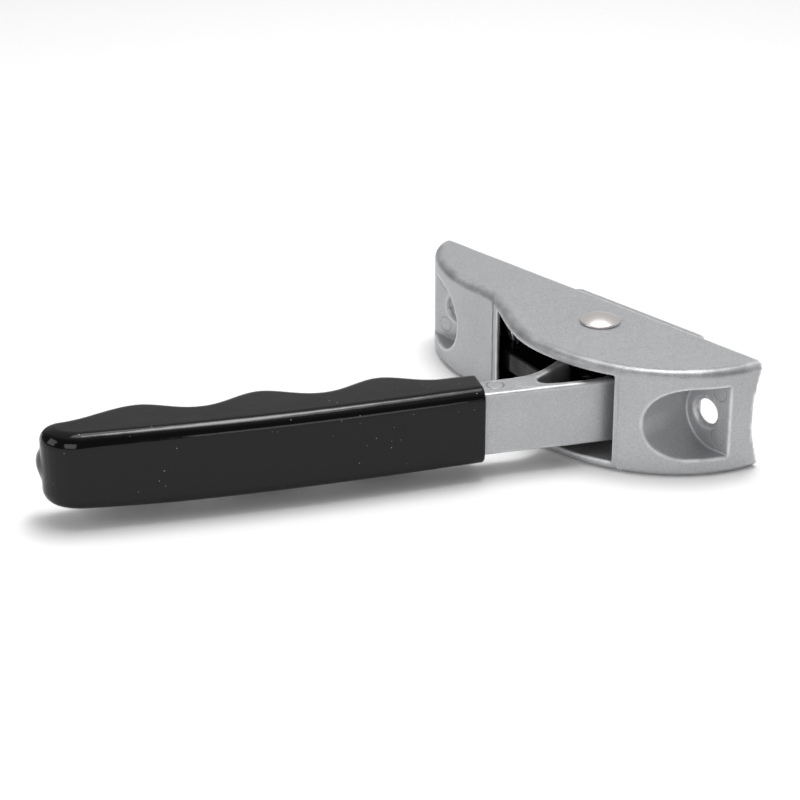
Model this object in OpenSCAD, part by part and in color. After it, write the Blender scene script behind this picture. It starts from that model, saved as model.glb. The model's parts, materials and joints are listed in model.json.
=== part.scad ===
// Sprung hand lever on a saddle-backed, screw-fixed bracket.
// Frame: X runs along the bracket, +Y points into the post it is screwed to, +Z is up.
// The origin is on the pivot's X, on the saddle's edge plane, at mid-height.

/* [Bracket] */
// Height of the bracket casting
bracket_h = 26; // [25:0.1:28]
// Thickness of the top and bottom plates
plate_t = 2.4; // [2:0.1:2.8]
// From the pivot to the long end of the bracket
long_reach = 62.7; // [61:0.1:66]
// From the pivot to the short end of the bracket
short_reach = 40.8; // [39.5:0.1:42]
// Radius of the round post that the saddle fits
post_r = 34.9; // [32:0.1:45]
// Left edge of the lever slot, from the pivot
slot_left = 24.4; // [22.4:0.1:24.8]
// Right edge of the lever slot, from the pivot
slot_right = 19.6; // [19.2:0.1:21]

/* [Screw holes] */
// Distance between the two screw holes
hole_spacing = 81.5; // [80.5:0.1:82.5]
// Distance from the pivot to the near screw hole
hole_near = 31.4; // [31:0.1:32.4]
// Radius of the screw holes
hole_r = 3.1; // [2.6:0.05:3.4]
// Radius of the chamfer round each screw hole
chamfer_r = 3.7; // [3.5:0.1:5]
// Radius of the rounded end of the screw pockets
pocket_r = 8.6; // [7:0.1:8.8]
// How far the near pocket's rounded end is centred beyond its hole
near_shift = 2.9; // [1.5:0.1:3.4]
// How far the far pocket's rounded end is centred beyond its hole
far_shift = 0.3; // [0:0.1:2]
// Depth of the pocket floors below the saddle's edge plane
pocket_floor = 8.3; // [7.8:0.1:8.8]

/* [Back boss] */
// Width of the raised boss behind the pivot
boss_w = 41.4; // [36:0.1:44]
// Height of the raised boss
boss_h = 23; // [20:0.1:23.4]
// How far the boss stands past the saddle's edge plane
boss_out = 4.2; // [3:0.1:5]
// Width of the window through the boss
window_w = 32; // [28:0.1:34]
// Height of the window through the boss
window_h = 17.2; // [16:0.1:18]

/* [Pivot] */
// Distance of the pivot in front of the saddle's edge plane
pivot_in = 10.3; // [10:0.1:10.6]
// Radius of the rivet's shank
shank_r = 2.4; // [2:0.1:2.4]
// Radius of the rivet's domed head
rivet_head_r = 4.8; // [4:0.1:5.5]
// Height of the domed head
rivet_head_h = 1.8; // [1.2:0.1:2.2]
// Radius of the lever's hub barrel
hub_r = 5; // [4.6:0.1:5]

/* [Lever] */
// Lean of the lever away from square to the bracket, in degrees
lever_angle = 27.5; // [26:0.1:28.5]
// Height of the lever bar
bar_h = 15.2; // [14:0.1:15.6]
// Thickness of the lever bar
bar_t = 7.5; // [7:0.1:8]
// Distance of the bar's palm face from the pivot
palm_offset = 20.6; // [20.2:0.1:20.8]
// Where the grip starts, along the lever from the pivot
grip_start = 34.2; // [33:0.1:36]
// Where the grip ends, along the lever from the pivot
grip_end = 132.7; // [126:0.1:136]
// Thickness of the dipped coat
coat_t = 1.8; // [1:0.1:2]
// Height of the spring ear on the lever
ear_h = 5.2; // [4.4:0.1:6]

/* [Finger grip] */
// Distance between two finger grooves
groove_pitch = 27.4; // [25:0.1:29]
// Depth of the finger grooves below the ridges
groove_depth = 4.4; // [3:0.1:5]

/* [Return spring] */
// Mean radius of the spring's coils
spring_r = 4.4; // [4:0.1:4.6]
// Diameter of the spring's wire
wire_d = 0.8; // [0.6:0.05:0.8]
// Number of coils
spring_turns = 3.75; // [3:0.25:3.75]

/* [Hidden] */
$fn = 64;

casting_grey = [0.70, 0.71, 0.73];
half_h = bracket_h / 2;
gap_half = half_h - plate_t;
hole_far = hole_spacing - hole_near;
saddle_centre_y = sqrt(post_r * post_r - half_h * half_h);
saddle_floor_y = saddle_centre_y - post_r;
back_wall_t = 2.4;
back_wall_y = saddle_floor_y - back_wall_t;
pivot_y = -pivot_in;
beyond = 60;

// Plan of the bracket's front: long end, waist, belly and short end
waist_x = -34;
waist_y = -17.1;
belly_x = 2;
belly_y = -30;
curve_steps = 14;

// Front wall of the spring chamber, behind the waist
chamber_left = -37.5;
chamber_front = -15.2;
chamber_bend_x = -28.5;
chamber_mouth_y = -18.6;

// Spring chamber seat and the ear that presses on the spring
spring_x = -30.5;
seat_depth = 1.3;
seat_y = back_wall_y + seat_depth;
ear_front = chamber_front + 0.1;
ear_t = 2.3;
ear_back = ear_front + ear_t;
ear_left = -35.5;
ear_top = 0.6;
spigot_r = 1.9;
spigot_len = 1.8;
spring_gap = 0.05;

// Screw pocket floors
floor_t = 1.8;
recess_h = 13.6;
chamfer_depth = 0.6;
// Back recess behind each screw hole, towards the pivot and away from it
recess_inner = 8.4;
recess_outer = 3.4;

// Stack on the pivot
washer_t = 0.6;
hub_half = gap_half - washer_t - 0.1;
bush_r = 3.4;
bush_bore_r = shank_r + 0.05;
plate_hole_r = shank_r + 0.05;
counterbore_r = 4.6;
counterbore_depth = 1.2;
tail_washer_t = 0.5;
tail_washer_z = -half_h + counterbore_depth - tail_washer_t;
tail_r = 3.6;
tail_t = 0.6;

// Lever head
web_half = 1.6;
rib_t = 2;
finger_face = palm_offset - bar_t;
head_inner = -1;
// Finger side of the lever where the bar flares into the head
neck = [[finger_face, -24], [11.1, -18.1], [7.6, -13.8]];
first_groove = 41.9;
// The last finger ridge runs out towards the grip's end
last_ridge = first_groove + 2.5 * groove_pitch;
last_stretch = 1.3;
palm_swell = 1.7;
palm_round = 9;
finger_round = 5;
tip_blend = 0.8;
grip_steps = 24;

// Pawl in the lever's tail
tail_w = 9;
tail_half_h = 6.4;
tail_end = -0.6;
tongue_half_h = 2.5;
tongue_w = 7;
tongue_end = 8.4;
tongue_root = -4.4;
pin_r = 1;
pin_y = [-2.9, -1.5];
pin_x = [-1.9, 1.9];

function mix(a, b, t) = a * (1 - t) + b * t;
function bezier(p, t) = mix(mix(mix(p[0], p[1], t), mix(p[1], p[2], t), t),
    mix(mix(p[1], p[2], t), mix(p[2], p[3], t), t), t);
function curve(p) = [for (i = [0 : curve_steps - 1]) bezier(p, i / curve_steps)];

// Three smooth spans, each given by its two ends and the two points it leans towards
long_end = [[-long_reach, 0], [0.5 - long_reach, -8], [waist_x - 14, waist_y], [waist_x, waist_y]];
belly_side = [[waist_x, waist_y], [waist_x + 12, waist_y], [belly_x - 18, belly_y], [belly_x, belly_y]];
short_end = [[belly_x, belly_y], [belly_x + 22, belly_y - 0.5], [short_reach - 1.8, -15.5], [short_reach, 0]];
front_outline = concat(curve(long_end), curve(belly_side), curve(short_end),
    [[short_reach, 0], [short_reach, 0.5], [-long_reach, 0.5]]);

// Lever-plan helpers: s runs from the pivot towards the grip's end, t towards the palm side.
// The finger side is plain up to the first groove, then waves; the palm side swells.
function groove_run(s) = min(s, last_ridge) - first_groove + max(s - last_ridge, 0) / last_stretch;
function finger_line(s) = finger_face - coat_t
    - (s < first_groove ? 0 : groove_depth / 2 * (1 - cos(360 * groove_run(s) / groove_pitch)));
function palm_line(s) = palm_offset + coat_t
    + palm_swell * sin(180 * (s - grip_start) / (grip_end - grip_start));

// Plan of the grip, inset by a margin for the bar inside it
function grip_plan(inset) = let(
        last = grip_end - inset,
        s_palm = last - palm_round,
        s_finger = last - finger_round,
        t_palm = palm_line(s_palm) - inset,
        t_finger = finger_line(s_finger) + inset
    ) concat(
        [for (i = [0 : grip_steps]) let(s = mix(grip_start, s_palm, i / grip_steps))
            [palm_line(s) - inset, -s]],
        [for (a = [15 : 15 : 75])
            [t_palm - palm_round * (1 - cos(a)) * tip_blend, -s_palm - palm_round * sin(a)]],
        [for (a = [75 : -15 : 15])
            [t_finger + finger_round * (1 - cos(a)) * tip_blend, -s_finger - finger_round * sin(a)]],
        [for (i = [grip_steps : -1 : 0]) let(s = mix(grip_start, s_finger, i / grip_steps))
            [finger_line(s) + inset, -s]]);

// Places its children in the lever's own frame
module lever_frame() {
    translate([0, pivot_y, 0]) rotate([0, 0, -lever_angle]) children();
}

// A slab from its plan, centred on mid-height
module slab(plan, height) {
    translate([0, 0, -height / 2]) linear_extrude(height) polygon(plan);
}

// A cylinder along Y between two depths
module y_bore(x, r, y0, y1) {
    translate([x, y0, 0]) rotate([-90, 0, 0]) cylinder(h = y1 - y0, r = r);
}

// A ring about the pivot's axis
module pivot_ring(z0, height, r_out, r_in) {
    translate([0, pivot_y, z0]) difference() {
        cylinder(h = height, r = r_out);
        translate([0, 0, -1]) cylinder(h = height + 2, r = r_in);
    }
}

module boss() {
    corner_r = 2.4;
    side = boss_w / 2 - corner_r;
    front_y = saddle_floor_y - 1;
    translate([-side, front_y, -boss_h / 2]) cube([2 * side, boss_out - front_y, boss_h]);
    translate([-boss_w / 2, front_y, -boss_h / 2]) cube([boss_w, boss_out - corner_r - front_y, boss_h]);
    for (x = [-side, side]) {
        translate([x, boss_out - corner_r, -boss_h / 2]) cylinder(h = boss_h, r = corner_r);
    }
}

// Front pocket, chamfered hole and back recess of one screw place
module screw_place(x, outward, shift) {
    pocket_x = x + outward * shift;
    y_bore(pocket_x, pocket_r, -beyond, -pocket_floor);
    translate([outward > 0 ? pocket_x : pocket_x - beyond, -beyond, -pocket_r])
        cube([beyond, beyond - pocket_floor, 2 * pocket_r]);
    y_bore(x, hole_r, -pocket_floor - 1, 1);
    translate([x, -pocket_floor, 0]) rotate([-90, 0, 0])
        cylinder(h = chamfer_depth, r1 = chamfer_r, r2 = hole_r);
    recess_in = x - outward * recess_inner;
    recess_out = x + outward * recess_outer;
    translate([min(recess_in, recess_out), floor_t - pocket_floor, -recess_h / 2])
        cube([abs(recess_out - recess_in), beyond, recess_h]);
}

// Room for the lever: the slot, the spring chamber and the window
module lever_room() {
    slab([[chamber_left, back_wall_y], [chamber_left, chamber_front], [chamber_bend_x, chamber_front],
        [-slot_left, chamber_mouth_y], [-slot_left, -beyond], [slot_right, -beyond],
        [slot_right, back_wall_y]], 2 * gap_half);
    translate([-window_w / 2, back_wall_y - 1, -window_h / 2]) cube([window_w, beyond, window_h]);
    y_bore(spring_x, spring_r + 0.9, back_wall_y - 0.5, seat_y);
}

module bracket_casting() {
    color(casting_grey) difference() {
        union() {
            difference() {
                slab(front_outline, bracket_h);
                translate([-beyond * 2, saddle_centre_y, 0]) rotate([0, 90, 0])
                    cylinder(h = beyond * 4, r = post_r, $fn = 180);
            }
            boss();
        }
        lever_room();
        screw_place(hole_near, 1, near_shift);
        screw_place(-hole_far, -1, far_shift);
        translate([0, pivot_y, -half_h - 1]) cylinder(h = bracket_h + 2, r = plate_hole_r);
        translate([0, pivot_y, -half_h - 1]) cylinder(h = counterbore_depth + 1, r = counterbore_r);
    }
}

// Bar and its widened part inside the grip
module lever_bar() {
    lever_frame() {
        slab(concat([[palm_offset, -head_inner - 2], [palm_offset, -grip_start - 1],
            [finger_face, -grip_start - 1]], neck), bar_h);
        slab(grip_plan(coat_t), bar_h);
    }
}

// Ribbed head between the bar, the hub and the spring ear
module lever_head() {
    lever_frame() {
        difference() {
            slab(concat([[palm_offset - 2, -head_inner], [palm_offset, -head_inner - 2], [palm_offset, -26]],
                neck, [[4.4, -10.5], [0, -4], [4, 1]]), bar_h);
            for (side = [-1, 1]) {
                translate([0, 0, side > 0 ? web_half : -beyond - web_half]) linear_extrude(beyond)
                    polygon([[palm_offset - rib_t, -head_inner - 3], [palm_offset - rib_t, -17.5],
                        [palm_offset - rib_t - 2.6, -20], [13.4, -17.6], [9.7, -12.7], [5.6, -7.4],
                        [4.6, -5.2], [8, -head_inner - 1.4]]);
            }
        }
    }
    translate([0, pivot_y, -hub_half]) cylinder(h = 2 * hub_half, r = hub_r);
}

// Ear that reaches behind the front wall and presses on the spring
module spring_ear() {
    translate([0, 0, ear_top - ear_h]) linear_extrude(ear_h)
        polygon([[ear_left, ear_front], [-28.3, ear_front], [-22.6, -18.2], [-13, -19.9], [-5, -21.6],
            [2.6, -24.6], [4.5, -15], [0, pivot_y], [-6, pivot_y + 3], [-17, -9.3], [-23.5, ear_back],
            [ear_left, ear_back]]);
    y_bore(spring_x, spigot_r, ear_back - 0.5, ear_back + spigot_len);
}

// Tail with a slot for the steel tongue
module lever_tail() {
    difference() {
        translate([-tail_w / 2, pivot_y, -tail_half_h]) cube([tail_w, tail_end - pivot_y, 2 * tail_half_h]);
        translate([-tongue_w / 2, tongue_root, -tongue_half_h]) cube([tongue_w, beyond, 2 * tongue_half_h]);
        pawl_pin_set();
    }
}

module pawl_pin_set() {
    for (i = [0, 1]) {
        translate([pin_x[i], pin_y[i], -tail_half_h]) cylinder(h = 2 * tail_half_h, r = pin_r);
    }
}

module lever_casting() {
    color(casting_grey) difference() {
        union() {
            lever_bar();
            lever_head();
            spring_ear();
            lever_tail();
        }
        translate([0, pivot_y, -beyond]) cylinder(h = 2 * beyond, r = bush_r);
    }
}

module grip_sleeve() {
    color([0.05, 0.05, 0.055]) lever_frame() difference() {
        slab(grip_plan(0), bar_h + 2 * coat_t);
        slab(grip_plan(coat_t), bar_h);
        slab([[palm_offset, 0], [palm_offset, -grip_start - 1], [finger_face, -grip_start - 1],
            [finger_face, 0]], bar_h);
    }
}

// Domed head above, shank through the stack, upset tail in the counterbore
module pivot_rivet() {
    dome_r = (rivet_head_r * rivet_head_r + rivet_head_h * rivet_head_h) / (2 * rivet_head_h);
    color([0.86, 0.83, 0.80]) translate([0, pivot_y, 0]) {
        intersection() {
            translate([0, 0, half_h + rivet_head_h - dome_r]) sphere(r = dome_r, $fn = 96);
            translate([0, 0, half_h]) cylinder(h = rivet_head_h + 1, r = rivet_head_r + 1);
        }
        translate([0, 0, tail_washer_z - tail_t]) cylinder(h = half_h - tail_washer_z + tail_t, r = shank_r);
        translate([0, 0, tail_washer_z - tail_t]) cylinder(h = tail_t, r = tail_r);
    }
}

module rivet_washer() {
    color([0.62, 0.63, 0.65])
        pivot_ring(tail_washer_z, tail_washer_t, counterbore_r - 0.3, shank_r);
}

module upper_thrust_washer() {
    color([0.30, 0.30, 0.31]) pivot_ring(gap_half - washer_t, washer_t, hub_r, shank_r + 0.1);
}

module lower_thrust_washer() {
    color([0.30, 0.30, 0.31]) pivot_ring(-gap_half, washer_t, hub_r, shank_r + 0.1);
}

module pivot_bush() {
    color([0.72, 0.58, 0.36]) pivot_ring(-hub_half, 2 * hub_half, bush_r, bush_bore_r);
}

// Coil centre line along Y: dead turns at both ends, open coils between
function coil_centre(u) = let(
        dead = 0.75 / spring_turns,
        live = min(max((u - dead) / (1 - 2 * dead), 0), 1),
        flat = min(u, dead) + max(u - 1 + dead, 0),
        closed = wire_d * spring_turns * flat,
        open = seat_y - ear_back - 2 * spring_gap - wire_d - wire_d * spring_turns * 2 * dead
    ) ear_back + spring_gap + wire_d / 2 + closed + open * live;

module return_spring() {
    sides = 8;
    rings = 102;
    points = [for (i = [0 : rings]) let(u = i / rings, a = 360 * spring_turns * u)
        for (k = [0 : sides - 1]) let(b = 360 * k / sides, r = spring_r + wire_d / 2 * cos(b))
            [spring_x + r * cos(a), coil_centre(u) + wire_d / 2 * sin(b), r * sin(a)]];
    walls = [for (i = [0 : rings - 1]) for (k = [0 : sides - 1]) let(n = (k + 1) % sides)
        [i * sides + k, i * sides + n, (i + 1) * sides + n, (i + 1) * sides + k]];
    ends = [[for (k = [sides - 1 : -1 : 0]) k], [for (k = [0 : sides - 1]) rings * sides + k]];
    color([0.45, 0.46, 0.48]) polyhedron(points, concat(walls, ends));
}

// Hardened steel tongue with a bevelled nose
module pawl_tongue() {
    nose = 2;
    half_w = tongue_w / 2;
    color([0.40, 0.41, 0.43]) difference() {
        slab([[-half_w, tongue_root], [half_w, tongue_root], [half_w, tongue_end - nose],
            [half_w - nose, tongue_end], [-half_w, tongue_end]], 2 * tongue_half_h);
        pawl_pin_set();
    }
}

module pawl_pins() {
    color([0.66, 0.67, 0.69]) pawl_pin_set();
}

bracket_casting();
lever_casting();
grip_sleeve();
pivot_rivet();
rivet_washer();
upper_thrust_washer();
lower_thrust_washer();
pivot_bush();
return_spring();
pawl_tongue();
pawl_pins();
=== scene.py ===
import json
import math
import bpy
import numpy as np
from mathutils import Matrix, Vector


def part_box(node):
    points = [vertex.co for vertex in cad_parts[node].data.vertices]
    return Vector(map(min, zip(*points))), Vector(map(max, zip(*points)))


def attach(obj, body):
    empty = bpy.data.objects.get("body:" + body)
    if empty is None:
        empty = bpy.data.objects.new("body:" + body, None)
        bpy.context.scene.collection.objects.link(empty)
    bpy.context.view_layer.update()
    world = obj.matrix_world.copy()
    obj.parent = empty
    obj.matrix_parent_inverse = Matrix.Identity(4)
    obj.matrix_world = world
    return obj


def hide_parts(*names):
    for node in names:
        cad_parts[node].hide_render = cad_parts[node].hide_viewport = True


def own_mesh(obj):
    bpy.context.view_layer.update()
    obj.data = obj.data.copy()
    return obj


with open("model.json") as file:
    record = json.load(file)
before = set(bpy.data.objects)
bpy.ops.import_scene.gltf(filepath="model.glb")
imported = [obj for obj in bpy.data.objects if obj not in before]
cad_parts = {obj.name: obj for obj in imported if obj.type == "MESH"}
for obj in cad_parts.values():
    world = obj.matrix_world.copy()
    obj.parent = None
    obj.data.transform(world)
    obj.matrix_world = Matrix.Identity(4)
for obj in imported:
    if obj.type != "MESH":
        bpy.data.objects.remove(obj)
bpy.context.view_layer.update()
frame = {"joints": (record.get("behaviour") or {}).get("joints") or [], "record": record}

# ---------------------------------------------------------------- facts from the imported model
# Shapes are worked out in millimetres and turned into metres when a mesh is made.
MM = 0.001
record = frame["record"]
mounts = {m["name"]: m for m in record["mounts"]}
joint = frame["joints"][0]
PIVOT_Y = joint["pos_m"][1] / MM
bracket_lo, bracket_hi = (np.array(v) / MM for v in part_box("bracket_casting"))
HALF_H = bracket_hi[2]
LONG_REACH = -bracket_lo[0]
SHORT_REACH = bracket_hi[0]
BOSS_OUT = bracket_hi[1]
POST_R = mounts["post_saddle"]["dims"]["r_mm"]
screws = mounts["post_screws"]
HOLE_R = screws["dims"]["hole_r_mm"]
HOLES = [screws["pos_m"][0] / MM + k * screws["dims"]["spacing_x_mm"] / 2 for k in (1, -1)]
RECESS_Y = screws["pos_m"][1] / MM
rivet_lo, rivet_hi = (np.array(v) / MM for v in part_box("pivot_rivet"))
spring_lo, spring_hi = (np.array(v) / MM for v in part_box("return_spring"))
SPRING_X = (spring_lo[0] + spring_hi[0]) / 2
GRIP_HALF_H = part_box("grip_sleeve")[1][2] / MM

# Sizes that the record doesn't hold, and a few worked out from them. Names ending in LEFT, RIGHT,
# FRONT or Y are places.
PLATE_T = 2.4
GAP_HALF = HALF_H - PLATE_T
SADDLE_Y = math.sqrt(POST_R ** 2 - HALF_H ** 2)
BACK_WALL_Y = SADDLE_Y - POST_R - PLATE_T
POCKET_R = 8.6
POCKET_SHIFTS = (2.9, 0.3)
POCKET_Y = -8.3
SLOT_LEFT = -24.4
SLOT_RIGHT = 19.6
CHAMBER_FRONT = -15.2
LEVER_ANGLE = math.radians(-27.5)
PALM = 20.6
FINGER = 13.1
BAR_HALF = 7.6
COAT = 1.8
GRIP_START = 34.2
GRIP_END = 132.6
SHANK_R = 2.4
BOSS_HALF_W = 20.7
BOSS_HALF_H = 11.5
BOSS_CORNER = 2.4
WINDOW_HALF_W = 16
WINDOW_HALF_H = 8.6
SEAT_R = 5.3
SPIGOT_R = 1.9
COUNTERBORE_R = 4.6
COUNTERBORE_DEPTH = 1.2
RECESS_INNER = 8.4
RECESS_OUTER = 3.4
RECESS_HALF_H = 6.8
HUB_R = 5
BUSH_R = 3.4
TAIL_HALF_W = 4.5
TAIL_HALF_H = 6.4
TONGUE_SLOT_HALF_W = 3.5
TONGUE_SLOT_HALF_H = 2.5
EAR_HALF = 2.6
EAR_MID = -2.0
HUB_HALF = GAP_HALF - 0.7
CHAMFER_R = HOLE_R + 0.6
# the two witness lines that the mould's slide core left on the front
MARK_LEFT = -26.9
MARK_RIGHT = 20.8
# round marks of the ejector pins
EJECTOR_R = 1.9
POCKET_EJECTORS = ((3.8, 6.0), (3.7, -5.2))
LEVER_EJECTOR = (0.4, -44.7)

COARSE = 1.0


# ---------------------------------------------------------------- distance fields
def bezier(p, steps):
    t = np.arange(steps)[:, None] / steps
    p = np.array(p, float)
    return p[0] * (1 - t) ** 3 + 3 * p[1] * t * (1 - t) ** 2 + 3 * p[2] * t ** 2 * (1 - t) + p[3] * t ** 3


def soften(points, rounds=2, keep=0.25):
    """Cuts a closed outline's corners."""
    p = np.array(points, float)
    for _ in range(rounds):
        q = np.roll(p, -1, axis=0)
        p = np.stack([p * (1 - keep) + q * keep, p * keep + q * (1 - keep)], axis=1).reshape(-1, 2)
    return p


def outline(x, y, points):
    """Distance to a closed outline in plan, negative inside."""
    x, y = np.broadcast_arrays(x, y)
    best = np.full(x.shape, 1e9)
    inside = np.zeros(x.shape, bool)
    a = np.roll(points, 1, axis=0)
    for (ax, ay), (bx, by) in zip(a, points):
        ex, ey = bx - ax, by - ay
        size = ex * ex + ey * ey
        if size < 1e-12:
            continue
        wx, wy = x - ax, y - ay
        t = np.clip((wx * ex + wy * ey) / size, 0, 1)
        best = np.minimum(best, (wx - ex * t) ** 2 + (wy - ey * t) ** 2)
        if ay != by:
            inside ^= ((ay > y) != (by > y)) & (x < ex * (y - ay) / ey + ax)
    return np.where(inside, -1.0, 1.0) * np.sqrt(best)


def both(a, b, r):
    """Where a and b meet, with a fillet."""
    return np.minimum(-r, np.maximum(a, b)) + np.hypot(np.maximum(a + r, 0), np.maximum(b + r, 0))


def either(a, b, r):
    """a and b together, with a fillet where they meet."""
    return -both(-a, -b, r)


def cut(a, b, r):
    """a without b, with a rounded edge."""
    return both(a, -b, r)


def block(x, y, z, lo, hi, r=0.0):
    """A box with rounded edges."""
    d = [np.abs(v - (l + h) / 2) - (h - l) / 2 + r for v, l, h in zip((x, y, z), lo, hi)]
    out = np.sqrt(sum(np.maximum(v, 0) ** 2 for v in d))
    return out + np.minimum(np.maximum(np.maximum(d[0], d[1]), d[2]), 0) - r


def ellipsoid(x, y, z, centre, radii):
    """Near enough the distance, close to its surface."""
    p = [(v - c) / r for v, c, r in zip((x, y, z), centre, radii)]
    far = np.sqrt(sum(v ** 2 for v in p)) + 1e-6
    steep = np.sqrt(sum((v / r) ** 2 for v, r in zip(p, radii)) + 1e-9)
    return far * (far - 1) / steep


def ramp(v, a, b):
    t = np.clip((v - a) / (b - a), 0, 1)
    return t * t * (3 - 2 * t)


def pillar(d_plan, z, half, r):
    """A plan raised to half a height each way, with rounded edges."""
    return both(d_plan, np.abs(z) - half, r)


# ---------------------------------------------------------------- meshes
def build(name, verts, faces, normals=None):
    """A mesh object from points in millimetres and quads or triangles."""
    mesh = bpy.data.meshes.new(name)
    mesh.from_pydata([tuple(v) for v in np.asarray(verts) * MM], [], [tuple(f) for f in faces])
    mesh.update(calc_edges=True)
    mesh.validate()
    mesh.polygons.foreach_set("use_smooth", [True] * len(mesh.polygons))
    obj = bpy.data.objects.new(name, mesh)
    bpy.context.scene.collection.objects.link(obj)
    if normals is not None and len(normals) == len(mesh.vertices):
        mesh.normals_split_custom_set_from_vertices([tuple(n) for n in normals])
    return obj


EDGES = [(a, b) for a in np.ndindex(2, 2, 2) for b in np.ndindex(2, 2, 2)
         if sum(b) - sum(a) == 1 and all(q >= p for p, q in zip(a, b))]


def skin(field, lo, hi, pitch):
    """The zero surface of a field as quads, with each point moved onto the surface."""
    pitch *= COARSE
    lo = np.array(lo, float)
    counts = np.ceil((np.array(hi) - lo) / pitch).astype(int) + 1
    axes = [lo[i] + pitch * np.arange(counts[i]) for i in range(3)]
    value = field(axes[0][:, None, None], axes[1][None, :, None], axes[2][None, None, :])
    solid = value < 0
    cells = counts - 1
    total = np.zeros(cells, np.int8)
    for o in np.ndindex(2, 2, 2):
        total += solid[o[0]:o[0] + cells[0], o[1]:o[1] + cells[1], o[2]:o[2] + cells[2]]
    cell = np.array(np.nonzero((total > 0) & (total < 8)))
    number = np.full(cells, -1)
    number[tuple(cell)] = np.arange(cell.shape[1])
    where = np.zeros((cell.shape[1], 3))
    found = np.zeros(cell.shape[1])
    for a, b in EDGES:
        fa = value[cell[0] + a[0], cell[1] + a[1], cell[2] + a[2]]
        fb = value[cell[0] + b[0], cell[1] + b[1], cell[2] + b[2]]
        hit = (fa < 0) != (fb < 0)
        t = np.where(hit, fa / np.where(hit, fa - fb, 1), 0)
        where += hit[:, None] * (np.array(a) + t[:, None] * (np.array(b) - np.array(a)))
        found += hit
    verts = lo + pitch * (cell.T + where / found[:, None])
    faces = []
    for axis in range(3):
        u, v = (axis + 1) % 3, (axis + 2) % 3
        near = [slice(1, -1)] * 3
        far = [slice(1, -1)] * 3
        near[axis], far[axis] = slice(None, -1), slice(1, None)
        inside = solid[tuple(near)]
        at = np.array(np.nonzero(inside != solid[tuple(far)]))
        flip = ~inside[tuple(at)]
        at[u] += 1
        at[v] += 1
        ring = []
        for du, dv in ((1, 1), (0, 1), (0, 0), (1, 0)):
            c = at.copy()
            c[u] -= du
            c[v] -= dv
            ring.append(number[tuple(c)])
        quads = np.array(ring).T
        quads[flip] = quads[flip][:, ::-1]
        faces.append(quads)
    faces = np.concatenate(faces)
    eps = 0.02

    def slope(p, mid):
        g = np.empty_like(p)
        for i in range(3):
            q = p.copy()
            q[:, i] += eps
            g[:, i] = (field(q[:, 0], q[:, 1], q[:, 2]) - mid) / eps
        return g

    for _ in range(3):
        mid = field(verts[:, 0], verts[:, 1], verts[:, 2])
        g = slope(verts, mid)
        move = mid / np.maximum((g ** 2).sum(1), 0.25)
        verts = verts - np.clip(move, -0.4 * pitch, 0.4 * pitch)[:, None] * g
    g = slope(verts, field(verts[:, 0], verts[:, 1], verts[:, 2]))
    g /= np.maximum(np.linalg.norm(g, axis=1), 1e-9)[:, None]
    return verts, faces, g


def lathe(profile, steps=96):
    """A closed turned solid about Z from (radius, z) points; radius 0 closes an end."""
    verts, rings = [], []
    for r, z in profile:
        if r < 1e-6:
            rings.append([len(verts)])
            verts.append((0, 0, z))
        else:
            rings.append(list(range(len(verts), len(verts) + steps)))
            verts += [(r * math.cos(2 * math.pi * k / steps), r * math.sin(2 * math.pi * k / steps), z)
                      for k in range(steps)]
    faces = []
    closed = profile[0][0] > 1e-6
    pairs = list(zip(rings, rings[1:] + rings[:1])) if closed else list(zip(rings, rings[1:]))
    for a, b in pairs:
        for k in range(steps):
            n = (k + 1) % steps
            if len(a) == 1:
                faces.append((a[0], b[n], b[k]))
            elif len(b) == 1:
                faces.append((a[k], a[n], b[0]))
            else:
                faces.append((a[k], a[n], b[n], b[k]))
    return np.array(verts, float), faces


def ring_profile(r_in, r_out, z0, z1, c):
    """Section of a washer or bush with broken edges."""
    return [(r_in + c, z0), (r_out - c, z0), (r_out, z0 + c), (r_out, z1 - c),
            (r_out - c, z1), (r_in + c, z1), (r_in, z1 - c), (r_in, z0 + c)]


def at_pivot(verts):
    """Moves points turned about the origin to the rivet's axis."""
    return np.asarray(verts) + [0, PIVOT_Y, 0]


def to_world(p):
    """From the lever's own frame to the bracket's."""
    c, s = math.cos(LEVER_ANGLE), math.sin(LEVER_ANGLE)
    return np.stack([p[:, 0] * c - p[:, 1] * s, p[:, 0] * s + p[:, 1] * c, p[:, 2]], axis=1)


# ---------------------------------------------------------------- bracket
WAIST = (-34, -17.1)
BELLY = (2, -30)
STEPS = 40
front = np.concatenate([
    bezier([(-LONG_REACH, 0), (0.5 - LONG_REACH, -8), (WAIST[0] - 14, WAIST[1]), WAIST], STEPS),
    bezier([WAIST, (WAIST[0] + 12, WAIST[1]), (BELLY[0] - 18, BELLY[1]), BELLY], STEPS),
    bezier([BELLY, (BELLY[0] + 22, BELLY[1] - 0.5), (SHORT_REACH - 1.8, -15.5), (SHORT_REACH, 0)], STEPS),
    [(SHORT_REACH, 0), (SHORT_REACH, 12), (-LONG_REACH, 12)]])
room = np.array([(-37.5, BACK_WALL_Y), (-37.5, CHAMBER_FRONT), (-28.5, CHAMBER_FRONT), (SLOT_LEFT, -18.6),
                 (SLOT_LEFT, -60), (SLOT_RIGHT, -60), (SLOT_RIGHT, BACK_WALL_Y)])


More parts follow.
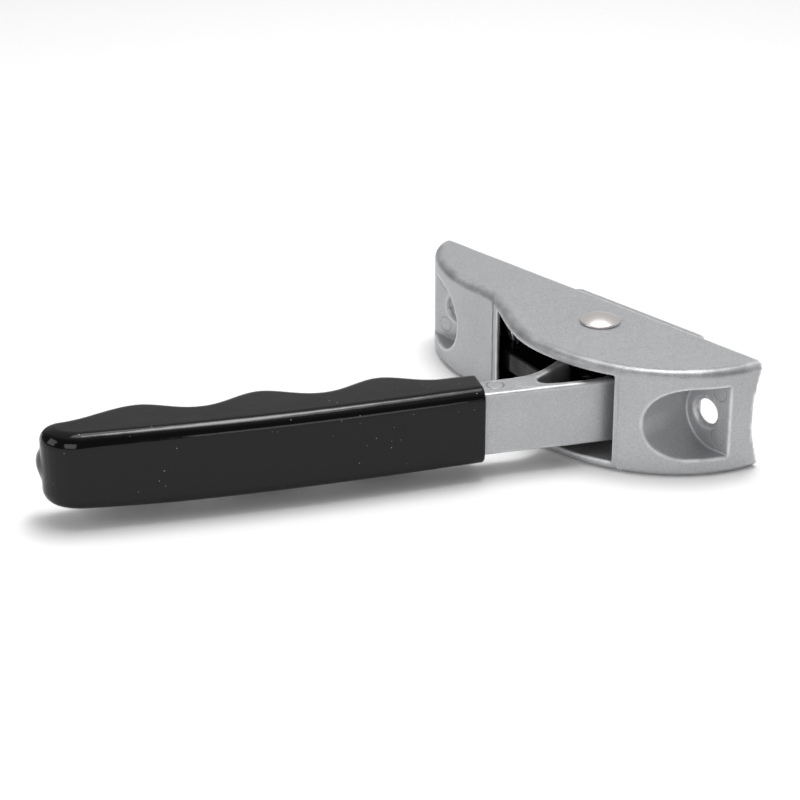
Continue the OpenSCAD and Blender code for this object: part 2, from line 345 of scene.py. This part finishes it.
def bracket_field(x, y, z):
    plan = outline(x, y, front)
    # the slide core's mark: the lever's side of both lines stands a hair lower
    mark = ramp(x, MARK_LEFT - 0.2, MARK_LEFT + 0.2) * (1 - ramp(x, MARK_RIGHT - 0.2, MARK_RIGHT + 0.2))
    d = pillar(plan + 0.1 * mark, z, HALF_H, 1.9)
    d = both(d, POST_R - np.hypot(y - SADDLE_Y, z), 0.12)
    bx = np.abs(x) - BOSS_HALF_W + BOSS_CORNER
    by = y - BOSS_OUT + BOSS_CORNER
    boss = np.hypot(np.maximum(bx, 0), np.maximum(by, 0)) + np.minimum(np.maximum(bx, by), 0) - BOSS_CORNER
    boss = both(both(boss, np.abs(z) - BOSS_HALF_H, 0.7), -5 - y, 0.2)
    d = either(d, boss, 0.7)
    hollow = pillar(outline(x, y, room), z, GAP_HALF, 0.25)
    d = cut(d, hollow, 0.5)
    window = block(x, y, z, (-WINDOW_HALF_W, -8, -WINDOW_HALF_H), (WINDOW_HALF_W, 30, WINDOW_HALF_H), 1.2)
    d = cut(d, window, 0.5)
    seat = both(np.hypot(x - SPRING_X, z) - SEAT_R, y - spring_hi[1] - 0.05, 0.15)
    d = cut(d, both(seat, BACK_WALL_Y - 1 - y, 0.1), 0.2)
    for hole_x, way, shift in zip(HOLES, (1, -1), POCKET_SHIFTS):
        along = (x - hole_x) * way
        pocket = both(np.hypot(np.minimum(along - shift, 0), z) - POCKET_R, y - POCKET_Y, 0.5)
        d = cut(d, pocket, 0.35)
        r = np.hypot(x - hole_x, z)
        cone = (r - CHAMFER_R + (y - POCKET_Y)) * 0.707
        cone = both(cone, POCKET_Y - 0.5 - y, 0.05)
        d = cut(d, np.minimum(r - HOLE_R, cone), 0.2)
        # the hollow behind the pocket's floor, open to the saddle
        recess = block(along, y, z, (-RECESS_INNER, RECESS_Y, -RECESS_HALF_H),
                       (RECESS_OUTER, 40, RECESS_HALF_H), 1.0)
        d = cut(d, recess, 0.4)
    pivot = np.hypot(x, y - PIVOT_Y)
    d = cut(d, pivot - SHANK_R - 0.05, 0.2)
    d = cut(d, both(pivot - COUNTERBORE_R, z + HALF_H - COUNTERBORE_DEPTH, 0.15), 0.25)
    return d


lo = bracket_lo - 1.0
hi = bracket_hi + 1.0
bracket = build("bracket_body", *skin(bracket_field, lo, hi, 0.42))

# ---------------------------------------------------------------- lever
FIRST_GROOVE = 41.9
GROOVE_PITCH = 27.4
GROOVE_DEPTH = 4.4
LAST_RIDGE = FIRST_GROOVE + 2.5 * GROOVE_PITCH
LAST_STRETCH = 1.3
PALM_BULGE = 1.7
PALM_CORNER = 9
FINGER_CORNER = 5


def palm_line(s):
    """The palm side's distance from the pivot's line, s along the lever."""
    return PALM + COAT + PALM_BULGE * np.sin(math.pi * (s - GRIP_START) / (GRIP_END - GRIP_START))


def finger_line(s):
    """The same for the finger side, with its grooves."""
    past = np.maximum(s - LAST_RIDGE, 0)
    along = np.minimum(s, LAST_RIDGE) - FIRST_GROOVE + past / LAST_STRETCH
    wave = GROOVE_DEPTH / 2 * (1 - np.cos(2 * math.pi * along / GROOVE_PITCH))
    return FINGER - COAT - np.where(s < FIRST_GROOVE, 0, wave)


def grip_outline(first):
    """Plan of the grip in the lever's own frame, beginning at first along the lever."""
    s_palm, s_finger = GRIP_END - PALM_CORNER, GRIP_END - FINGER_CORNER
    t_palm, t_finger = palm_line(s_palm), finger_line(s_finger)
    a = np.radians(np.arange(6, 86, 6))
    palm_s = np.linspace(first, s_palm, 90)
    finger_s = np.linspace(s_finger, first, 160)
    return np.concatenate([
        np.stack([palm_line(palm_s), -palm_s], 1),
        np.stack([t_palm - PALM_CORNER * (1 - np.cos(a)) * 0.8, -s_palm - PALM_CORNER * np.sin(a)], 1),
        np.stack([t_finger + FINGER_CORNER * (1 - np.cos(a[::-1])) * 0.8,
                  -s_finger - FINGER_CORNER * np.sin(a[::-1])], 1),
        np.stack([finger_line(finger_s), -finger_s], 1)])


grip_plan = grip_outline(GRIP_START - 8)


def grip_core(x, y, z, gap):
    """What the coat covers, less a gap."""
    core = pillar(outline(x, y, grip_plan) + COAT + gap, z, BAR_HALF - gap, 1.4)
    return both(core, y + GRIP_START - 3, 0.2)


def grip_field(x, y, z):
    plan = outline(x, y, grip_plan)
    # the edges are rounder and the coat thinner towards the end
    r = 3.1 + 0.5 * ramp(-y, 118, 131)
    thin = 0.3 * ramp(-y, 100, 130)
    d = pillar(plan, z - thin, GRIP_HALF_H - thin, r)
    # the last drop of the dip, set on the end
    drop = ellipsoid(x, y, z, (13.2, 1.6 - GRIP_END, 0.2), (2.8, 2.4, 3.4))
    d = either(d, drop, 1.6)
    d = both(d, y + GRIP_START, 0.45)
    return cut(d, grip_core(x, y, z, 0), 0.15)


head_plan = soften([(17, 1), (18.6, 1), (PALM, -1), (PALM, -4), (PALM, -26), (FINGER, -26), (12.9, -22.5),
                    (11.1, -18.1), (7.6, -13.8), (4.4, -10.5), (0, -4), (4, 1)], 2)
bar_plan = np.array([(PALM, -3), (PALM, -GRIP_START - 14), (FINGER, -GRIP_START - 14), (FINGER, -22),
                     (13.6, -12)])
recess_plan = soften([(18.8, -2.6), (18.8, -17.6), (17.6, -20.2), (15.4, -20.4), (13.3, -17.6), (9.7, -12.7),
                      (5.8, -7.8), (5.2, -5.4), (8, -2.6)], 2)
ear_plan = soften([(-35.5, -14.9), (-28.2, -14.9), (-22.6, -18.1), (-13, -19.9), (-5, -21.6), (2.6, -24.6),
                   (4.5, -15), (0, PIVOT_Y), (-6, PIVOT_Y + 3), (-17, -9.3), (-23.5, -12.8),
                   (-35.5, -12.8)], 1, 0.12)


def lever_field(x, y, z):
    bar = pillar(outline(x, y, bar_plan), z, BAR_HALF, 0.7)
    head = pillar(outline(x, y, head_plan), z, BAR_HALF, 0.7)
    d = either(bar, head, 0.3)
    recess = both(outline(x, y, recess_plan), 1.6 - np.abs(z), 1.0)
    d = cut(d, recess, 0.45)
    d = either(d, grip_core(x, y, z, 0.03), 0.3)
    d = either(d, pillar(np.hypot(x, y) - HUB_R, z, HUB_HALF, 0.25), 0.8)
    c, s = math.cos(LEVER_ANGLE), math.sin(LEVER_ANGLE)
    wx = x * c - y * s
    wy = x * s + y * c + PIVOT_Y
    ear = pillar(outline(wx, wy, ear_plan), z - EAR_MID, EAR_HALF, 0.6)
    spigot = both(np.hypot(wx - SPRING_X, z) - SPIGOT_R, np.abs(wy + 12.15) - 1.15, 0.3)
    ear = either(ear, spigot, 0.2)
    tail = block(wx, wy, z, (-TAIL_HALF_W, PIVOT_Y, -TAIL_HALF_H), (TAIL_HALF_W, -0.6, TAIL_HALF_H), 0.5)
    d = either(d, either(ear, tail, 0.5), 0.9)
    tongue_slot = block(wx, wy, z, (-TONGUE_SLOT_HALF_W, -4.4, -TONGUE_SLOT_HALF_H),
                        (TONGUE_SLOT_HALF_W, 40, TONGUE_SLOT_HALF_H))
    d = cut(d, tongue_slot, 0.2)
    return cut(d, np.hypot(x, y) - BUSH_R, 0.2)


verts, faces, normals = skin(lever_field, (-29, -GRIP_END - 0.5, -10.6), (23.6, 20, 10.6), 0.42)
lever = build("lever_body", to_world(verts) + [0, PIVOT_Y, 0], faces, to_world(normals))

verts, faces, normals = skin(grip_field, (4.5, -GRIP_END - 2.5, -10.3), (25.5, -GRIP_START + 1.2, 10.3), 0.45)
grip = build("grip_skin", to_world(verts) + [0, PIVOT_Y, 0], faces, to_world(normals))

# ---------------------------------------------------------------- pivot stack
HEAD_R = 4.8
HEAD_H = rivet_hi[2] - HALF_H
tail_z = rivet_lo[2]
profile = [(0, tail_z + 0.12), (1.1, tail_z + 0.1), (1.7, tail_z), (3.2, tail_z + 0.02), (3.5, tail_z + 0.15),
           (3.6, tail_z + 0.35), (3.5, tail_z + 0.55), (3.4, tail_z + 0.6), (SHANK_R, tail_z + 0.6),
           (SHANK_R, HALF_H + 0.02), (HEAD_R - 0.25, HALF_H + 0.02), (HEAD_R - 0.06, HALF_H + 0.08)]
# the head's short upright wall, its rounded shoulder and its shallow dome
SHOULDER = 0.3
wall_top = HALF_H + 0.42
for degrees in range(0, 65, 8):
    a = math.radians(degrees)
    profile.append((HEAD_R - SHOULDER + SHOULDER * math.cos(a), wall_top + SHOULDER * math.sin(a)))
dome_r, dome_z = profile[-1]
for k in range(1, 20):
    u = 1 - k / 20
    profile.append((dome_r * u, dome_z + (HALF_H + HEAD_H - dome_z) * (1 - u ** 2)))
profile.append((0, HALF_H + HEAD_H))
verts, faces = lathe(profile, 128)
rivet = build("rivet_turned", at_pivot(verts), faces)

stack = {}
for node, name, r_in, c in (("rivet_washer", "tail_washer", SHANK_R, 0.08),
                            ("upper_thrust_washer", "thrust_washer_top", SHANK_R + 0.1, 0.08),
                            ("lower_thrust_washer", "thrust_washer_bottom", SHANK_R + 0.1, 0.08),
                            ("pivot_bush", "hub_bush", SHANK_R + 0.05, 0.2)):
    node_lo, node_hi = (np.array(v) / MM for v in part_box(node))
    r_out = (node_hi[0] - node_lo[0]) / 2
    verts, faces = lathe(ring_profile(r_in, r_out, node_lo[2], node_hi[2], c), 96)
    stack[node] = build(name, at_pivot(verts), faces)

# ---------------------------------------------------------------- return spring
WIRE = 0.8
TURNS = 3.75
coil_r = (spring_hi[0] - spring_lo[0] - WIRE) / 2
rings, sides = int(TURNS * 40), 14
dead = 0.75 / TURNS
closed_h = WIRE * TURNS
open_h = spring_hi[1] - spring_lo[1] - WIRE - closed_h * 2 * dead
verts = []
for i in range(rings + 1):
    u = i / rings
    a = 2 * math.pi * TURNS * u
    live = min(max((u - dead) / (1 - 2 * dead), 0), 1)
    flat = min(u, dead) + max(u - 1 + dead, 0)
    y = spring_lo[1] + WIRE / 2 + closed_h * flat + open_h * live
    for k in range(sides):
        b = 2 * math.pi * k / sides
        r = coil_r + WIRE / 2 * math.cos(b)
        verts.append((SPRING_X + r * math.cos(a), y + WIRE / 2 * math.sin(b), r * math.sin(a)))
faces = [(i * sides + k, i * sides + (k + 1) % sides, (i + 1) * sides + (k + 1) % sides, (i + 1) * sides + k)
         for i in range(rings) for k in range(sides)]
faces += [tuple(range(sides))[::-1], tuple(rings * sides + k for k in range(sides))]
spring = build("coil_spring", verts, faces)

# ---------------------------------------------------------------- tongue and pins
tongue_lo, tongue_hi = (np.array(v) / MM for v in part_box("pawl_tongue"))


def tongue_field(x, y, z):
    nose = 2.0
    d = block(x, y, z, tongue_lo, tongue_hi, 0.25)
    bevel = ((x - tongue_hi[0]) + (y - tongue_hi[1]) + nose) / math.sqrt(2)
    d = both(d, bevel, 0.3)
    for px, py in ((-1.9, -2.9), (1.9, -1.5)):
        d = cut(d, np.hypot(x - px, y - py) - 1.0, 0.1)
    return d


tongue = build("steel_tongue", *skin(tongue_field, tongue_lo - 0.6, tongue_hi + 0.6, 0.26))
pins_lo, pins_hi = (np.array(v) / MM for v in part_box("pawl_pins"))
pin_verts, pin_faces = [], []
for px, py in ((pins_lo[0] + 1, pins_lo[1] + 1), (pins_hi[0] - 1, pins_hi[1] - 1)):
    verts, faces = lathe([(0, pins_lo[2]), (0.8, pins_lo[2]), (1, pins_lo[2] + 0.2), (1, pins_hi[2] - 0.2),
                          (0.8, pins_hi[2]), (0, pins_hi[2])], 32)
    pin_faces += [tuple(v + len(pin_verts) for v in f) for f in faces]
    pin_verts += [tuple(v) for v in verts + [px, py, 0]]
pins = build("tongue_pins", pin_verts, pin_faces)


# ---------------------------------------------------------------- materials
class Nodes:
    """Short hand for building one node material."""

    def __init__(self, name):
        self.mat = bpy.data.materials.new(name)
        self.mat.use_nodes = True
        self.tree = self.mat.node_tree
        self.shader = self.tree.nodes["Principled BSDF"]
        self.place = self.tree.nodes.new("ShaderNodeTexCoord").outputs["Object"]

    def add(self, kind, inputs=(), **facts):
        node = self.tree.nodes.new("ShaderNode" + kind)
        for key, value in facts.items():
            setattr(node, key, value)
        for key, value in dict(inputs).items():
            if isinstance(value, bpy.types.NodeSocket):
                self.tree.links.new(value, node.inputs[key])
            else:
                node.inputs[key].default_value = value
        return node

    def noise(self, scale, detail=2.0, rough=0.5, vector=None):
        return self.add("TexNoise", {"Vector": vector or self.place, "Scale": scale, "Detail": detail,
                                     "Roughness": rough}).outputs["Fac"]

    def cells(self, scale, output="Distance"):
        return self.add("TexVoronoi", {"Vector": self.place, "Scale": scale}).outputs[output]

    def fit(self, value, a, b, c, d):
        return self.add("MapRange", {"Value": value, "From Min": a, "From Max": b, "To Min": c,
                                     "To Max": d}).outputs["Result"]

    def math(self, kind, a, b=0.0):
        return self.add("Math", {0: a, 1: b}, operation=kind).outputs[0]

    def mix(self, factor, a, b):
        node = self.add("Mix", {"Factor": factor}, data_type="RGBA")
        for socket, value in zip(("A", "B"), (a, b)):
            target = [s for s in node.inputs if s.name == socket and s.type == "RGBA"][0]
            if isinstance(value, bpy.types.NodeSocket):
                self.tree.links.new(value, target)
            else:
                target.default_value = (*value, 1.0)
        return [s for s in node.outputs if s.type == "RGBA"][0]

    def blend(self, factor, a, b):
        return self.add("Mix", {"Factor": factor, "A": a, "B": b}, data_type="FLOAT").outputs["Result"]

    def axes(self):
        return self.add("SeparateXYZ", {"Vector": self.place}).outputs

    def bump(self, height, depth, below=None):
        inputs = {"Height": height, "Distance": depth, "Strength": 1.0}
        if below is not None:
            inputs["Normal"] = below
        return self.add("Bump", inputs).outputs["Normal"]

    def set(self, **values):
        for key, value in values.items():
            socket = self.shader.inputs[key.replace("_", " ")]
            if isinstance(value, bpy.types.NodeSocket):
                self.tree.links.new(value, socket)
            elif isinstance(value, tuple):
                socket.default_value = (*value, 1.0)
            else:
                socket.default_value = value
        return self.mat


PAINT_DARK = (0.37, 0.373, 0.385)
PAINT_LIGHT = (0.52, 0.525, 0.54)
DUST = (0.25, 0.25, 0.25)
WORN_METAL_AND_HIGHLIGHT = (0.9, 0.9, 0.9)
TOP_RIM_DARK = (0.22, 0.22, 0.215)
SLOT_SHADE = (0.05, 0.05, 0.05)
GREASE_AND_SHADE = (0.004, 0.003, 0.0025)
VINYL = (0.0015, 0.0014, 0.0018)


def silver_paint(name, marks):
    """Fine metallic paint on a casting; marks adds the casting's own small marks, grease and painted shade.
    """
    m = Nodes(name)
    grain = m.cells(4200, output="Color")
    flake = m.add("SeparateColor", {"Color": grain}).outputs[0]
    fine = m.noise(1900, 2)
    broad = m.noise(60, 3)
    dust = m.fit(m.noise(420, 4, 0.65), 0.60, 0.72, 0, 1)
    base = m.mix(m.fit(flake, 0, 1, 0.1, 0.9), PAINT_DARK, PAINT_LIGHT)
    base = m.mix(m.fit(broad, 0.3, 0.7, 0, 0.25), base, PAINT_DARK)
    base = m.mix(m.math("MULTIPLY", dust, 0.12), base, DUST)
    sharp = m.add("NewGeometry").outputs["Pointiness"]
    x, y, z = m.axes()
    top = m.math("MULTIPLY", m.fit(z, 0.0108, 0.0118, 0, 1), m.fit(y, -0.006, -0.003, 1, 0))
    # convex edges are lightened: partly worn paint, partly a painted highlight
    edge = m.math("MULTIPLY", m.fit(sharp, 0.506, 0.55, 0, 1), m.fit(m.noise(240, 3), 0.3, 0.6, 0.4, 1))
    edge = m.math("MULTIPLY", edge, m.math("SUBTRACT", 1.0, top))
    base = m.mix(m.math("MULTIPLY", edge, 0.7), base, WORN_METAL_AND_HIGHLIGHT)
    # the top rim is darker in patches, which dulls its shine
    rim_dark = m.math("MULTIPLY", m.math("MULTIPLY", m.fit(sharp, 0.501, 0.512, 0, 1), top),
                  m.fit(m.noise(170, 4, 0.6), 0.35, 0.65, 0.05, 0.6))
    base = m.mix(rim_dark, base, TOP_RIM_DARK)
    rough = m.math("ADD", m.fit(flake, 0, 1, 0.38, 0.52), m.fit(broad, 0.3, 0.7, -0.03, 0.05))
    normal = m.bump(m.noise(260, 2), 0.00006)
    normal = m.bump(fine, 0.000012, normal)
    normal = m.bump(flake, 0.000006, normal)
    base, rough, normal, metallic = marks(m, base, rough, normal)
    return m.set(Base_Color=base, Roughness=rough, Metallic=metallic, Normal=normal, IOR=1.3)


def ring_mark(m, a, b, centre, radius, width):
    """1 on a thin circle about centre, measured in the plane of a and b."""
    da = m.math("SUBTRACT", a, centre[0])
    db = m.math("SUBTRACT", b, centre[1])
    r = m.math("SQRT", m.math("ADD", m.math("MULTIPLY", da, da), m.math("MULTIPLY", db, db)))
    off = m.math("ABSOLUTE", m.math("SUBTRACT", r, radius))
    return m.fit(off, 0, width, 1, 0)


def inside(m, value, lo, hi):
    """1 between lo and hi."""
    return m.math("MULTIPLY", m.math("GREATER_THAN", value, lo), m.math("LESS_THAN", value, hi))


def grease_and_shade(m, amount, base, rough, normal):
    """Near-black inside the housing: partly old grease, smooth and slightly wet, partly painted shade."""
    return (m.mix(amount, base, GREASE_AND_SHADE), m.blend(amount, rough, 0.24),
            m.bump(m.math("MULTIPLY", amount, m.noise(130, 2)), 0.0007, normal), m.blend(amount, 0.7, 0.0))


def bracket_marks_and_shade(m, base, rough, normal):
    x, y, z = m.axes()
    marks = None
    # two ejector marks on each pocket's floor
    for hole_x, way in zip(HOLES, (1, -1)):
        for dx, pz in POCKET_EJECTORS:
            ring = ring_mark(m, x, z, ((hole_x + way * dx) * MM, pz * MM), EJECTOR_R * MM, 0.0002)
            ring = m.math("MULTIPLY", ring, inside(m, y, (POCKET_Y - 0.4) * MM, (POCKET_Y + 0.4) * MM))
            ring = m.math("MULTIPLY", ring, 0.45)
            marks = ring if marks is None else m.math("MAXIMUM", marks, ring)
    face = m.math("LESS_THAN", y, -14 * MM)
    face = m.math("MULTIPLY", face, inside(m, z, -11.9 * MM, 11.9 * MM))
    waver = m.fit(m.noise(300, 3), 0.3, 0.7, -0.00012, 0.00012)
    for line_x, width, depth in ((MARK_LEFT, 0.0003, 1.6), (MARK_RIGHT, 0.00013, 0.15)):
        off = m.math("ABSOLUTE", m.math("SUBTRACT", m.math("ADD", x, waver), line_x * MM))
        line = m.math("MULTIPLY", m.fit(off, 0, width, depth, 0), face)
        marks = m.math("MAXIMUM", marks, line)
    normal = m.bump(m.math("SUBTRACT", 1.0, marks), 0.00016, normal)
    base = m.mix(m.math("MULTIPLY", marks, 0.6), base, (0.1, 0.1, 0.1))
    # grease and painted shade inside the housing, darker deeper in
    deep = m.math("MULTIPLY", m.fit(y, -0.0205, -0.0155, 0, 1),
                  m.math("LESS_THAN", y, (BACK_WALL_Y + 0.2) * MM))
    behind = m.math("MAXIMUM", m.math("GREATER_THAN", x, (SLOT_LEFT - 0.05) * MM),
                    m.math("GREATER_THAN", y, (CHAMBER_FRONT - 0.2) * MM))
    deep = m.math("MULTIPLY", deep, behind)
    deep = m.math("MULTIPLY", deep, inside(m, z, -(GAP_HALF + 0.1) * MM, (GAP_HALF + 0.1) * MM))
    deep = m.math("MULTIPLY", deep, inside(m, x, -38 * MM, (SLOT_RIGHT + 0.1) * MM))
    return grease_and_shade(m, deep, base, rough, normal)


def lever_marks_and_shade(m, base, rough, normal):
    x, y, z = m.axes()
    ring = ring_mark(m, x, y, (LEVER_EJECTOR[0] * MM, LEVER_EJECTOR[1] * MM), 1.95 * MM, 0.00025)
    ring = m.math("MULTIPLY", ring, m.math("GREATER_THAN", z, 7 * MM))
    normal = m.bump(m.math("SUBTRACT", 1.0, ring), 0.00018, normal)
    base = m.mix(m.math("MULTIPLY", ring, 0.35), base, (0.15, 0.15, 0.15))
    # grease and painted shade deep in the housing, never on the palm face
    across = m.math("ADD", m.math("MULTIPLY", x, math.cos(LEVER_ANGLE)),
                    m.math("MULTIPLY", m.math("SUBTRACT", y, PIVOT_Y * MM), math.sin(LEVER_ANGLE)))
    palm = m.math("GREATER_THAN", across, (PALM - 0.6) * MM)
    # painted shade darkens the palm face where it enters the slot
    base = m.mix(m.math("MULTIPLY", m.fit(y, -0.0262, -0.0200, 0, 0.8), palm), base, SLOT_SHADE)
    deep = m.math("MULTIPLY", m.fit(y, -0.0275, -0.0215, 0, 1), m.math("SUBTRACT", 1.0, palm))
    return grease_and_shade(m, deep, base, rough, normal)


def black_dip():
    """Glossy dipped vinyl with a little dust."""
    m = Nodes("black_dip")
    peel = m.noise(330, 2, 0.4)
    slow = m.noise(60, 2)
    specks = m.fit(m.cells(420), 0.045, 0.07, 1, 0)
    patch = m.fit(m.noise(45, 2), 0.46, 0.6, 0, 1)
    specks = m.math("MULTIPLY", specks, patch)
    base = m.mix(specks, VINYL, DUST)
    rough = m.math("ADD", m.fit(slow, 0.3, 0.7, 0.08, 0.13), m.math("MULTIPLY", specks, 0.3))
    normal = m.bump(slow, 0.00025)
    normal = m.bump(peel, 0.00003, normal)
    return m.set(Base_Color=base, Roughness=rough, Normal=normal, IOR=1.35)


def plated(name, colour, rough, scratch, cloud=1.0):
    """Bare metal with fine scratches along X; cloud is how stained it is."""
    m = Nodes(name)
    x, y, z = m.axes()
    stretched = m.add("CombineXYZ", {"X": m.math("MULTIPLY", x, 0.12), "Y": y, "Z": z}).outputs[0]
    lines = m.noise(2600, 2, 0.6, stretched)
    stain = m.noise(500, 3)
    base = m.mix(m.fit(stain, 0.35, 0.7, 0, 0.4 * cloud), colour, tuple(c * 0.8 for c in colour))
    roughness = m.math("ADD", m.fit(lines, 0.35, 0.7, rough, rough + 0.08 * cloud),
                       m.fit(stain, 0.3, 0.7, 0, 0.06 * cloud))
    normal = m.bump(lines, scratch)
    return m.set(Base_Color=base, Roughness=roughness, Metallic=1.0, Normal=normal)


paint = {
    "bracket": silver_paint("silver_paint_bracket", bracket_marks_and_shade),
    "lever": silver_paint("silver_paint_lever", lever_marks_and_shade),
}
finishes = {
    "black_dip": black_dip(),
    "nickel": plated("nickel", (0.74, 0.71, 0.695), 0.28, 0.0000003, 0.15),
    "bright_steel": plated("bright_steel", (0.55, 0.56, 0.58), 0.26, 0.000004),
    "dark_steel": plated("dark_steel", (0.26, 0.26, 0.27), 0.25, 0.000005),
    "bronze": plated("bronze", (0.55, 0.40, 0.22), 0.34, 0.000004),
}

# ---------------------------------------------------------------- what each piece stands for
for piece, node, body, slot in (
        (bracket, "bracket_casting", "bracket", "silver_paint"),
        (lever, "lever_casting", "lever", "silver_paint"),
        (grip, "grip_sleeve", "lever", "black_dip"),
        (rivet, "pivot_rivet", "bracket", "nickel"),
        (stack["rivet_washer"], "rivet_washer", "bracket", "bright_steel"),
        (stack["upper_thrust_washer"], "upper_thrust_washer", "bracket", "dark_steel"),
        (stack["lower_thrust_washer"], "lower_thrust_washer", "bracket", "dark_steel"),
        (stack["pivot_bush"], "pivot_bush", "lever", "bronze"),
        (spring, "return_spring", "bracket", "bright_steel"),
        (tongue, "pawl_tongue", "lever", "dark_steel"),
        (pins, "pawl_pins", "lever", "bright_steel")):
    piece.data.materials.append(paint[body] if slot == "silver_paint" else finishes[slot])
    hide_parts(node)
    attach(piece, body)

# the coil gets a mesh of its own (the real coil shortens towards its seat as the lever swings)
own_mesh(spring)

# ---------------------------------------------------------------- stage, light and camera
floor_z = (bracket_lo[2] - 0.02) * MM
side = 1.6
cells = 8
row = cells + 1
grid = [(side * (2 * i / cells - 1), side * (2 * j / cells - 1)) for i in range(row) for j in range(row)]
mesh = bpy.data.meshes.new("floor")
mesh.from_pydata([(x, y, floor_z) for x, y in grid], [],
                 [(i * row + j, (i + 1) * row + j, (i + 1) * row + j + 1, i * row + j + 1)
                  for i in range(cells) for j in range(cells)])
floor = bpy.data.objects.new("floor", mesh)
bpy.context.scene.collection.objects.link(floor)
m = Nodes("floor")
shade = m.noise(3, 2)
floor.data.materials.append(m.set(
    Base_Color=m.mix(shade, (0.90, 0.90, 0.90), (0.92, 0.92, 0.92)), Roughness=0.9, Specular_IOR_Level=0.1))


def softbox(name, place, aim, size, watts, size_y):
    """A square or oblong studio lamp that faces a point."""
    light = bpy.data.lights.new(name, "AREA")
    light.energy = watts
    light.shape = "RECTANGLE"
    light.size = size
    light.size_y = size_y
    obj = bpy.data.objects.new(name, light)
    obj.location = place
    obj.rotation_euler = (Vector(aim) - Vector(place)).to_track_quat("-Z", "Y").to_euler()
    bpy.context.scene.collection.objects.link(obj)


softbox("overhead", (-0.05, 0.05, 0.75), (0, -0.03, 0), 0.45, 2.7, 0.50)
softbox("overhead_core", (-0.049, 0.049, 0.74), (0, -0.03, 0), 0.18, 1.9, 0.28)
softbox("front_right", (0.45, -0.85, 0.32), (0, -0.03, 0), 0.45, 2.0, 0.5)
softbox("right_low", (0.85, -0.30, 0.12), (0, -0.03, 0), 0.30, 0.5, 0.2)
softbox("front_left", (-0.35, -0.85, 0.35), (0, -0.05, 0), 0.40, 1.6, 0.5)

# a room that is bright above and behind the object and darker low down in front of it
world = bpy.data.worlds.new("studio")
world.use_nodes = True
bpy.context.scene.world = world
tree = world.node_tree
towards = tree.nodes.new("ShaderNodeTexCoord").outputs["Generated"]
lean = tree.nodes.new("ShaderNodeVectorMath")
lean.operation = "DOT_PRODUCT"
tree.links.new(towards, lean.inputs[0])
lean.inputs[1].default_value = (-0.25, 0.62, 0.74)
level = tree.nodes.new("ShaderNodeMapRange")
level.interpolation_type = "SMOOTHSTEP"
tree.links.new(lean.outputs["Value"], level.inputs["Value"])
for key, value in (("From Min", 0.2), ("From Max", 0.65), ("To Min", 0.16), ("To Max", 0.58)):
    level.inputs[key].default_value = value
tree.nodes["Background"].inputs["Color"].default_value = (1, 1, 1, 1)
tree.links.new(level.outputs["Result"], tree.nodes["Background"].inputs["Strength"])

# a long lens, looking down on the object from the front right
camera = bpy.data.cameras.new("camera")
camera.sensor_width = 36
camera.lens = 113
camera.clip_start = 0.02
viewer = bpy.data.objects.new("camera", camera)
viewer.location = (0.3627, -0.4067, 0.2423)
viewer.rotation_euler = (math.radians(90 - 24.98), 0, math.radians(47.41))
bpy.context.scene.collection.objects.link(viewer)
bpy.context.scene.camera = viewer
bpy.context.scene.view_settings.view_transform = "Standard"
